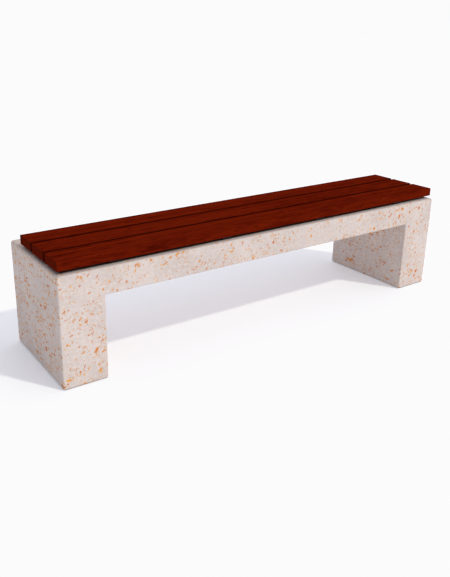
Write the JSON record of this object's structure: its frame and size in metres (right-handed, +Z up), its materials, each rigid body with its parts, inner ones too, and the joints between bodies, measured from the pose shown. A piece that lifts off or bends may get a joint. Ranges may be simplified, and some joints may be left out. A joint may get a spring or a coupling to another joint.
{
  "type": "garden bench",
  "caption": "Backless garden bench: one-piece precast concrete seat slab on two block legs, with raised hardwood slats bolted on through the slab.",
  "frame": {"origin": "on the ground, under the centre of the concrete body", "axes": "+X runs along the bench to the sitter's left, +Y to the rear, +Z up; the slats stand nearer the front edge, at -Y"},
  "size_m": [2, 0.48, 0.5],
  "materials": {
    "concrete": "honed pale precast concrete with small rust and ochre aggregate specks",
    "hardwood": "mahogany-red stain, satin, grain along the board",
    "bar_steel": "black powder coat over flat steel",
    "bolt_steel": "stainless, turned",
    "screw_steel": "stainless, bright",
    "pad_rubber": "matt black sheet rubber",
    "rebar": "lightly rusted mill steel",
    "spacer_plastic": "grey moulded plastic"
  },
  "bodies": {
    "root": {"concrete_body": "concrete", "slat_front": "hardwood", "slat_middle": "hardwood", "slat_rear": "hardwood", "cross_bar_1": "bar_steel", "bar_pad_1": "pad_rubber", "cross_bar_2": "bar_steel", "bar_pad_2": "pad_rubber", "cross_bar_3": "bar_steel", "bar_pad_3": "pad_rubber", "cross_bar_4": "bar_steel", "bar_pad_4": "pad_rubber", "bolt_1_front": "bolt_steel", "washer_1_front": "bolt_steel", "bolt_1_rear": "bolt_steel", "washer_1_rear": "bolt_steel", "bolt_2_front": "bolt_steel", "washer_2_front": "bolt_steel", "bolt_2_rear": "bolt_steel", "washer_2_rear": "bolt_steel", "bolt_3_front": "bolt_steel", "washer_3_front": "bolt_steel", "bolt_3_rear": "bolt_steel", "washer_3_rear": "bolt_steel", "bolt_4_front": "bolt_steel", "washer_4_front": "bolt_steel", "bolt_4_rear": "bolt_steel", "washer_4_rear": "bolt_steel", "screw_1_front_a": "screw_steel", "screw_1_front_b": "screw_steel", "screw_1_middle_a": "screw_steel", "screw_1_middle_b": "screw_steel", "screw_1_rear_a": "screw_steel", "screw_1_rear_b": "screw_steel", "screw_2_front_a": "screw_steel", "screw_2_front_b": "screw_steel", "screw_2_middle_a": "screw_steel", "screw_2_middle_b": "screw_steel", "screw_2_rear_a": "screw_steel", "screw_2_rear_b": "screw_steel", "screw_3_front_a": "screw_steel", "screw_3_front_b": "screw_steel", "screw_3_middle_a": "screw_steel", "screw_3_middle_b": "screw_steel", "screw_3_rear_a": "screw_steel", "screw_3_rear_b": "screw_steel", "screw_4_front_a": "screw_steel", "screw_4_front_b": "screw_steel", "screw_4_middle_a": "screw_steel", "screw_4_middle_b": "screw_steel", "screw_4_rear_a": "screw_steel", "screw_4_rear_b": "screw_steel", "rebar_cage": "rebar", "rebar_spacer_1": "spacer_plastic", "rebar_spacer_2": "spacer_plastic", "rebar_spacer_3": "spacer_plastic", "rebar_spacer_4": "spacer_plastic"}
  },
  "joints": []
}
